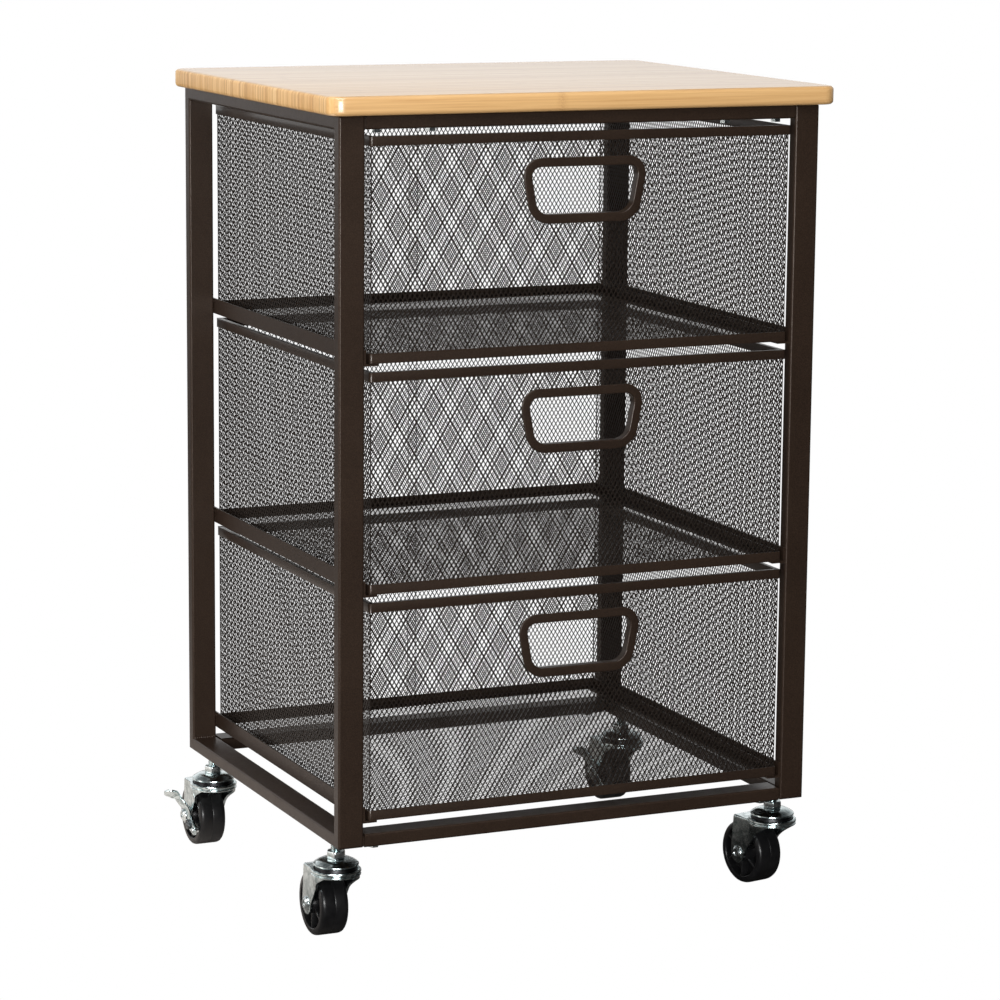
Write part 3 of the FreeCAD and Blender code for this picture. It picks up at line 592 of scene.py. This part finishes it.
for level in levels:
    body = f"{level}_drawer"
    makeDrawerMesh(level, body)
    makeTopRim(level, body)
    makeBaseRim(level, body)
    makeHandle(level, body)
print("drawers done")


# Casters, each made round its own stem with the wheel behind it, then turned and put in place

corners = ("front_left", "front_right", "back_left", "back_right")
braked = ("back_left", "back_right")
hinges = {joint["name"]: joint for joint in frame["joints"] if joint["type"] == "hinge"}
axlePlace = (0, 25 * mm, 25 * mm)


def putCaster(bm, corner):
    axis = hinges[f"{corner}_wheel_spin"]["axis"]
    place = hinges[f"{corner}_swivel"]["pos_m"]
    turnMesh(bm, math.atan2(axis[1], axis[0]), "Z")
    moveMesh(bm, (place[0], place[1], 0))


# The stem, its domed cap with a rolled lip, and the kingpin with its rivet head
stemProfile = (
    (0, 87.8), (3.35, 87.8), (3.35, 65.4), (8.2, 65.55), (12.2, 64.9), (14.8, 63.6), (15.8, 62.5),
    (16.6, 62.35), (17.1, 61.9), (17.2, 61.3), (16.9, 60.75), (16.1, 60.65), (15.2, 61.3), (13.8, 62.3),
    (11.4, 63.2), (8.2, 63.5), (5, 63.5), (5, 52.9), (7.5, 52.9), (7.2, 52.2), (5.6, 51.35), (2.5, 51.25),
    (0, 51.25))
threadSize = {
    "core": 3.25 * mm, "crest": 4 * mm, "pitch": 1.25 * mm, "low": 70.4 * mm, "turns": 8, "stepsPerTurn": 28,
    "crestShare": 0.1, "footShare": 0.48}
nutSize = {"corner": 7.3 * mm, "low": 65.62 * mm, "height": 5.8 * mm, "chamfer": 1.2 * mm, "edge": 0.25 * mm}


def makeStem(corner):
    bm = bmesh.new()
    spinProfile(bm, stemProfile, "Z", 64)
    low, core, crest, pitch = (threadSize[key] for key in ("low", "core", "crest", "pitch"))
    halfCrest, halfFoot = pitch * threadSize["crestShare"], pitch * threadSize["footShare"]
    ridge = addFace(bm, [
        (core, 0, low - halfFoot), (crest, 0, low - halfCrest),
        (crest, 0, low + halfCrest), (core, 0, low + halfFoot)])
    steps = threadSize["stepsPerTurn"]
    bmesh.ops.spin(
        bm, geom=[ridge] + list(ridge.edges) + list(ridge.verts), cent=(0, 0, 0), axis=(0, 0, 1),
        dvec=(0, 0, pitch / steps), angle=fullTurn * threadSize["turns"], steps=steps * threadSize["turns"],
        use_merge=False, use_duplicate=False)
    putCaster(bm, corner)
    makePiece(bm, f"{corner}_stem", brightZinc, "frame", ("caster_stems",))


def makeLockNut(corner):
    bm = bmesh.new()
    middle = Vector((0, 0, nutSize["low"] + nutSize["height"] / 2))
    addCylinder(bm, middle, nutSize["corner"], nutSize["height"], 6, "Z")
    bevelCorners(bm, list(bm.verts), nutSize["chamfer"], 1)
    bevelEdges(bm, sharpEdges(bm, 20), nutSize["edge"], 2)
    turnMesh(bm, math.pi / 2, "Z")
    putCaster(bm, corner)
    makePiece(bm, f"{corner}_lock_nut", boltZinc, "frame", ("caster_lock_nuts",), angle=25)


# The fork is one bent sheet, and its crown has a rolled edge, a groove and a lower lip round the ball race
forkSize = {  # in mm
    "half": 14, "wall": 2, "bend": 2, "foot": 8.45, "waist": 7, "edge": 0.35, "top": 55, "waistZ": 42,
    "footZ": 16.5}
legOutline = (
    (-12, forkSize["top"]), (-12, 53.5), (6, forkSize["waistZ"]), (17.5, 25), (17, forkSize["footZ"]),
    (33.5, forkSize["footZ"]), (33.5, 25), (31, forkSize["top"]))
flareSize = {  # in mm
    "back": 13, "inner": 10, "low": 38, "high": 52, "crownSquare": 322, "cutStep": 2, "lowestCut": 34}
crownProfile = (
    (5.2, 53.2), (17.3, 53.05), (18.4, 53.2), (18.9, 53.7), (18.85, 54.2), (18.2, 54.7), (18.15, 55.1),
    (18.7, 55.6), (19, 56.3), (18.9, 57.1), (18.4, 57.7), (17.7, 57.95), (17, 57.7), (16.6, 57), (16.2, 55.8),
    (15.4, 54.8), (5.2, 54.7))
raceProfile = ((13.8, 55.2), (15.8, 56.2), (16.1, 57.4), (15.7, 58.6), (15.4, 60.5), (13.8, 60.5))


def flareLegs(bm):  # each leg widens in front, from its flat side up to the round crown
    step = flareSize["cutStep"]
    half = forkSize["half"]
    cutAcross(bm, "Y", [(flareSize["back"] - number * step) * mm for number in range(13)])
    cutAcross(bm, "Z", [(flareSize["lowestCut"] + number * step) * mm for number in range(11)])
    for vert in bm.verts:
        x, y, z = vert.co / mm
        if y < flareSize["back"] and abs(x) > flareSize["inner"]:
            crownX = math.sqrt(max(half ** 2, flareSize["crownSquare"] - y * y))
            wide = half + (crownX - half) * easeBetween(z, flareSize["low"], flareSize["high"])
            vert.co.x = math.copysign(wide, x) * mm


def makeFork(corner):
    bm = bmesh.new()
    foot = (forkSize["footZ"] + 0.5) * mm
    top = (forkSize["top"] - 0.1) * mm
    side = (forkSize["half"] - 1) * mm
    leg = addFace(bm, scaled([(-forkSize["half"], y, z) for y, z in legOutline]))
    bevelCorners(bm, [v for v in leg.verts if v.co.z < foot], forkSize["foot"] * mm, 10)
    waist = [v for v in bm.verts if abs(v.co.z - forkSize["waistZ"] * mm) < hair]
    bevelCorners(bm, waist, forkSize["waist"] * mm, 8)
    topEdge = [e for e in bm.edges if min(v.co.z for v in e.verts) > top]
    pullEdges(bm, topEdge, (forkSize["half"] * mm, 0, 0))
    bmesh.ops.mirror(bm, geom=allOf(bm), axis="X", merge_dist=mergeReach)
    bmesh.ops.remove_doubles(bm, verts=bm.verts, dist=mergeReach)
    folds = [e for e in bm.edges if len(e.link_faces) == 2 and min(v.co.z for v in e.verts) > top]
    bevelEdges(bm, [e for e in folds if abs(e.verts[0].co.x) > side], forkSize["bend"] * mm, 6)
    flareLegs(bm)
    bmesh.ops.recalc_face_normals(bm, faces=bm.faces)
    plate = max(bm.faces, key=lambda f: f.calc_center_median().z)
    wall = math.copysign(forkSize["wall"] * mm, plate.normal.z)
    bmesh.ops.solidify(bm, geom=list(bm.faces), thickness=wall)
    bmesh.ops.recalc_face_normals(bm, faces=bm.faces)
    bevelEdges(bm, sharpEdges(bm, 60), forkSize["edge"] * mm, 3)
    crown = bmesh.new()
    spinProfile(crown, crownProfile, "Z", 72)
    joinInto(bm, crown)
    putCaster(bm, corner)
    body, node = f"{corner}_caster", f"{corner}_fork"
    makePiece(bm, f"{corner}_fork_shell", brightZinc, body, (node,), angle=30)

    race = bmesh.new()
    spinProfile(race, raceProfile, "Z", 64)
    putCaster(race, corner)
    makePiece(race, f"{corner}_ball_race", raceSteel, body, (node,), angle=30)


# Moulded wheel: a parting line round the tread, a raised rim lip, a thin web with six spokes on both sides
wheelSide = (
    (24.95, 0.25), (25, 0.5), (25, 7.2), (24.9, 8.6), (24.45, 9.8), (23.6, 10.6), (22.6, 11), (20, 11),
    (19.7, 10.8), (19.5, 10.5), (19.2, 4.1), (18.8, 3.6), (18.2, 3.5), (8.9, 3.5), (8.5, 3.8), (8.05, 10.9),
    (7.95, 11.2), (7.6, 11.4), (3.2, 11.4))
partingLine = (24.8, 0)
spokeSize = {
    "wide": 20 * mm, "thick": 2 * mm, "long": 14.4 * mm, "middle": 13.2 * mm, "edge": 0.5 * mm, "count": 6}


def makeWheel(corner):
    bm = bmesh.new()
    outline = [(radius, -along) for radius, along in reversed(wheelSide)] + [partingLine] + list(wheelSide)
    spinProfile(bm, outline, "X", 96)
    for number in range(spokeSize["count"]):
        spoke = bmesh.new()
        bmesh.ops.create_cube(spoke, size=1)
        bmesh.ops.scale(spoke, verts=spoke.verts, vec=[spokeSize[key] for key in ("wide", "thick", "long")])
        moveMesh(spoke, (0, 0, spokeSize["middle"]))
        bevelEdges(spoke, list(spoke.edges), spokeSize["edge"], 3)
        joinInto(bm, spoke, Matrix.Rotation(number * fullTurn / spokeSize["count"], 4, "X"))
    moveMesh(bm, axlePlace)
    putCaster(bm, corner)
    name = f"{corner}_wheel"
    makePiece(bm, f"{corner}_moulded_wheel", wheelBlack, name, (name,), angle=30)


# Rivet heads at both ends of the axle, with a raised ring round a dimple
headProfile = (
    (3, 0), (5.5, 0), (5.45, 0.5), (4.9, 1.2), (4, 1.8), (3.4, 2.35), (2.9, 2.4), (2.3, 2.3), (1.9, 1.7),
    (0, 1.6))
axleSize = {"legFace": 14, "leverFace": 16.4}  # in mm


def makeAxle(corner):
    bm = bmesh.new()
    leftFace = axleSize["leverFace" if corner in braked else "legFace"]
    left = [(radius, -leftFace - along) for radius, along in reversed(headProfile)]
    right = [(radius, axleSize["legFace"] + along) for radius, along in headProfile]
    spinProfile(bm, left + right, "X", 40)
    moveMesh(bm, axlePlace)
    putCaster(bm, corner)
    body, node = f"{corner}_caster", f"{corner}_axle"
    makePiece(bm, f"{corner}_riveted_axle", boltZinc, body, (node,), angle=35)


# Foot brake: a bent strip up to a round-ended tab, a link plate round the axle, a pin, and a nut on its stud
armLine = ((-16.05, 26), (-16.05, 32), (-22.05, 41), (-35.1, 45.05))
armSize = {"low": 14, "wide": 12, "wall": 1.7, "tab": 5.7, "bend": 2.4, "edge": 0.35}  # in mm, as all below
armTwist = {
    "lift": 1.6, "slope": 0.6, "lean": 0.3, "tab": (20, 27), "waistStart": (19.5, 22.5), "waistEnd": (23, 27),
    "rise": (27, 34), "riseEnd": (21, 31)}
plateSize = {
    "boss": (-15.2, 25, 25), "bossRadius": 7, "end": (-15.2, 4.5, 17), "endRadius": 4, "thick": 1.8,
    "edge": 0.3}
pinSize = {"place": (-14.6, 4.5, 17), "radius": 2.2, "length": 6.2, "edge": 0.7}
brakeNut = {"place": (-17.3, 13.5, 20), "radius": 4.3, "length": 2.4, "chamfer": 0.6, "edge": 0.15}
brakeStud = {"place": (-17.1, 13.5, 20), "radius": 2, "length": 4, "edge": 0.4}


def addRod(bm, size, steps):
    addCylinder(bm, Vector(size["place"]) * mm, size["radius"] * mm, size["length"] * mm, steps)


def twistArm(bm):  # the tab is raised and slopes, the strip is narrower at its waist and leans as it rises
    middle = armSize["low"] + armSize["wide"] / 2
    for vert in bm.verts:
        x, y, z = vert.co / mm
        offMiddleY = y - middle
        inTab = easeBetween(-x, *armTwist["tab"])
        inWaist = easeBetween(-x, *armTwist["waistStart"]) * (1 - easeBetween(-x, *armTwist["waistEnd"]))
        inRise = easeBetween(z, *armTwist["rise"]) * (1 - easeBetween(-x, *armTwist["riseEnd"]))
        vert.co.z += (armTwist["lift"] - offMiddleY * armTwist["slope"]) * inTab * mm
        vert.co.y -= offMiddleY * armTwist["slope"] * inWaist * mm
        vert.co.x -= (y - armSize["low"]) * armTwist["lean"] * inRise * mm


def makeLever(corner):
    bm = bmesh.new()
    edges = addLine(bm, scaled([(x, armSize["low"], z) for x, z in armLine]))
    pullEdges(bm, edges, (0, armSize["wide"] * mm, 0))
    tipX = armLine[-1][0] * mm
    bevelCorners(bm, [v for v in bm.verts if v.co.x < tipX + hair], armSize["tab"] * mm, 10)
    bends = [e for e in bm.edges if len(e.link_faces) == 2 and e.calc_face_angle(0) > 0.1]
    bevelEdges(bm, bends, armSize["bend"] * mm, 5)
    cutAcross(bm, "Z", [(27 + step) * mm for step in range(14)])
    cutAcross(bm, "X", [(-34 + step * 1.2) * mm for step in range(10)])
    twistArm(bm)
    bmesh.ops.recalc_face_normals(bm, faces=bm.faces)
    tab = min(bm.faces, key=lambda f: f.calc_center_median().x)
    wall = math.copysign(armSize["wall"] * mm, -tab.normal.z)
    bmesh.ops.solidify(bm, geom=list(bm.faces), thickness=wall)
    bmesh.ops.recalc_face_normals(bm, faces=bm.faces)
    bevelEdges(bm, sharpEdges(bm, 60), armSize["edge"] * mm, 3)

    plate = bmesh.new()
    for end, steps in (("boss", 48), ("end", 32)):
        radius = plateSize[f"{end}Radius"] * mm
        addCylinder(plate, Vector(plateSize[end]) * mm, radius, plateSize["thick"] * mm, steps)
    hull = bmesh.ops.convex_hull(plate, input=list(plate.verts))
    spare = {g for g in hull["geom_interior"] + hull["geom_unused"] if isinstance(g, bmesh.types.BMVert)}
    bmesh.ops.delete(plate, geom=list(spare), context="VERTS")
    bmesh.ops.dissolve_limit(plate, angle_limit=0.002, verts=list(plate.verts), edges=list(plate.edges))
    bevelEdges(plate, sharpEdges(plate, 60), plateSize["edge"] * mm, 3)
    joinInto(bm, plate)
    putCaster(bm, corner)
    body, node = f"{corner}_brake", f"{corner}_brake_lever"
    makePiece(bm, f"{corner}_lever_plate", brightZinc, body, (node,), angle=30)

    pin = bmesh.new()
    addRod(pin, pinSize, 32)
    bevelEdges(pin, sharpEdges(pin, 60), pinSize["edge"] * mm, 4)
    putCaster(pin, corner)
    makePiece(pin, f"{corner}_brake_pin", boltZinc, body, (node,))

    nut = bmesh.new()
    addRod(nut, brakeNut, 6)
    bevelCorners(nut, list(nut.verts), brakeNut["chamfer"] * mm, 1)
    bevelEdges(nut, sharpEdges(nut, 20), brakeNut["edge"] * mm, 2)
    stud = bmesh.new()
    addRod(stud, brakeStud, 24)
    bevelEdges(stud, sharpEdges(stud, 60), brakeStud["edge"] * mm, 3)
    joinInto(nut, stud)
    putCaster(nut, corner)
    makePiece(nut, f"{corner}_brake_nut", darkZinc, body, (node,), angle=25)


for corner in corners:
    makeStem(corner)
    makeLockNut(corner)
    makeFork(corner)
    makeWheel(corner)
    makeAxle(corner)
    if corner in braked:
        makeLever(corner)
print("casters done")


# Weld beads where posts meet the side rails, and dots that hold the runners to the posts

beadSize = {
    "radius": 1.25 * mm, "step": 1.6 * mm, "swellShare": 0.16, "fromCorner": 2 * mm, "fromEdge": 0.8 * mm,
    "fromEnd": 2.5 * mm}


def addBeads(bm, start, end):
    count = max(2, round((end - start).length / beadSize["step"]))
    for number in range(count):
        place = start.lerp(end, number / (count - 1))
        swell = 1 + beadSize["swellShare"] * math.sin(number * 2.3 + place.y * 90)
        bead = bmesh.new()
        bmesh.ops.create_uvsphere(bead, u_segments=12, v_segments=8, radius=beadSize["radius"] * swell)
        joinInto(bm, bead, Matrix.Translation(place))


def makeWelds():
    bm = bmesh.new()
    for side in ("left", "right"):
        for end in ("front", "back"):
            low, high = boxOf[f"{end}_{side}_post"]
            innerY = high.y if end == "front" else low.y
            startX, endX = low.x + beadSize["fromCorner"], high.x - beadSize["fromCorner"]
            for z in (boxOf[f"{side}_bottom_rail"][1].z, boxOf[f"{side}_top_rail"][0].z):
                addBeads(bm, Vector((startX, innerY, z)), Vector((endX, innerY, z)))
            for level in levels:
                low, high = boxOf[f"{side}_runner_{level}"]
                edgeX = low.x + beadSize["fromEdge"] if side == "left" else high.x - beadSize["fromEdge"]
                startZ, endZ = low.z + beadSize["fromEnd"], high.z - beadSize["fromEnd"]
                addBeads(bm, Vector((edgeX, innerY, startZ)), Vector((edgeX, innerY, endZ)))
    makePiece(bm, "weld_beads", framePaint, "frame", angle=60)


makeWelds()
print("welds done")


# Floor, light and camera

floorHalf = 6
floorBm = bmesh.new()
bmesh.ops.create_grid(floorBm, x_segments=1, y_segments=1, size=floorHalf)
floorMesh = bpy.data.meshes.new("floor")
floorBm.to_mesh(floorMesh)
floorBm.free()
floor = bpy.data.objects.new("floor", floorMesh)
bpy.context.scene.collection.objects.link(floor)

# the floor looks white, and gives light back only behind the cart on the left
floorMaterial, tree, floorShader, coords = startMaterial("floor_white")
x, y, z = splitOf(tree, coords)
floorReach = mathOf(tree, "SUBTRACT", y, mathOf(tree, "MULTIPLY", x, 0.5))
nearShade = rangeOf(tree, floorReach, 0.05, 0.95, -0.08, 0.22)
farShade = rangeOf(tree, floorReach, 0.95, 0.38, 0.6, 1.5)
floorShade = mathOf(tree, "MINIMUM", nearShade, farShade)
tree.links.new(mixOf(tree, floorShade, (0, 0, 0), (0.94, 0.86, 0.8)), floorShader.inputs["Base Color"])
setInputs(floorShader, {"Roughness": 0.9, "Specular IOR Level": 0.0})
glow = tree.nodes.new("ShaderNodeEmission")
setInputs(glow, {"Color": (1, 1, 1, 1), "Strength": 1.0})
path = tree.nodes.new("ShaderNodeLightPath")
blend = tree.nodes.new("ShaderNodeMixShader")
tree.links.new(path.outputs["Is Camera Ray"], blend.inputs["Fac"])
tree.links.new(floorShader.outputs[0], blend.inputs[1])
tree.links.new(glow.outputs[0], blend.inputs[2])
tree.links.new(blend.outputs[0], tree.nodes["Material Output"].inputs["Surface"])
floorMesh.materials.append(floorMaterial)

# the studio is darker in front and overhead, and lighter behind on the left
world = bpy.data.worlds.new("studio")
world.use_nodes = True
bpy.context.scene.world = world
tree = world.node_tree
path = tree.nodes.new("ShaderNodeLightPath")
x, y, z = splitOf(tree, tree.nodes.new("ShaderNodeTexCoord").outputs["Generated"])
worldReach = mathOf(tree, "SUBTRACT", y, mathOf(tree, "MULTIPLY", x, 0.3))
around = rangeOf(tree, worldReach, 0.03, 1.0, -0.5, 0.78)
overhead = rangeOf(tree, z, 1.0, 0.2, 0.22, 0.75)
seen = mathOf(tree, "MAXIMUM", path.outputs["Is Camera Ray"], mathOf(tree, "MULTIPLY", around, overhead))
tree.links.new(seen, tree.nodes["Background"].inputs["Strength"])
setInputs(tree.nodes["Background"], {"Color": (1, 1, 1, 1)})


def addLight(name, place, aim, size, power, colour=(1, 1, 1)):
    data = bpy.data.lights.new(name, "AREA")
    data.shape = "RECTANGLE"
    data.size, data.size_y = size
    data.energy = power
    data.color = colour
    light = bpy.data.objects.new(name, data)
    light.location = place
    light.rotation_euler = (Vector(aim) - Vector(place)).to_track_quat("-Z", "Y").to_euler()
    bpy.context.scene.collection.objects.link(light)


addLight("key", (-0.8, -1.5, 2.8), (0, 0, 0.4), (2.2, 1.6), 74)
addLight("front", (-1.0, -2.5, 0.5), (0, 0, 0.4), (1.2, 0.6), 54)
addLight("side", (-2.2, 0.3, 0.8), (0, 0, 0.3), (0.8, 1.8), 10, (1, 0.93, 0.88))
addLight("above", (0.2, -0.2, 2.6), (0, 0, 0.5), (2.0, 2.0), 5)

cameraView = {
    "azimuth": 24.394, "elevation": 10.414, "roll": 0.5167, "lens": 128.28,
    "place": (-1.13104, -2.53151, 0.81037)}
azimuth, elevation, roll = (math.radians(cameraView[key]) for key in ("azimuth", "elevation", "roll"))
forward = Vector((
    math.sin(azimuth) * math.cos(elevation), math.cos(azimuth) * math.cos(elevation), -math.sin(elevation)))
sideways = Vector((math.cos(azimuth), -math.sin(azimuth), 0))
upward = sideways.cross(forward)
right = math.cos(roll) * sideways + math.sin(roll) * upward
up = -math.sin(roll) * sideways + math.cos(roll) * upward
cameraData = bpy.data.cameras.new("camera")
cameraData.lens = cameraView["lens"]
cameraData.sensor_width = 36
cameraData.clip_start = 0.05
cameraData.clip_end = 60
camera = bpy.data.objects.new("camera", cameraData)
facing = Matrix((right, up, -forward)).transposed().to_4x4()
camera.matrix_world = Matrix.Translation(cameraView["place"]) @ facing
bpy.context.scene.collection.objects.link(camera)
bpy.context.scene.camera = camera
bpy.context.scene.view_settings.view_transform = "Standard"
print("stage done")
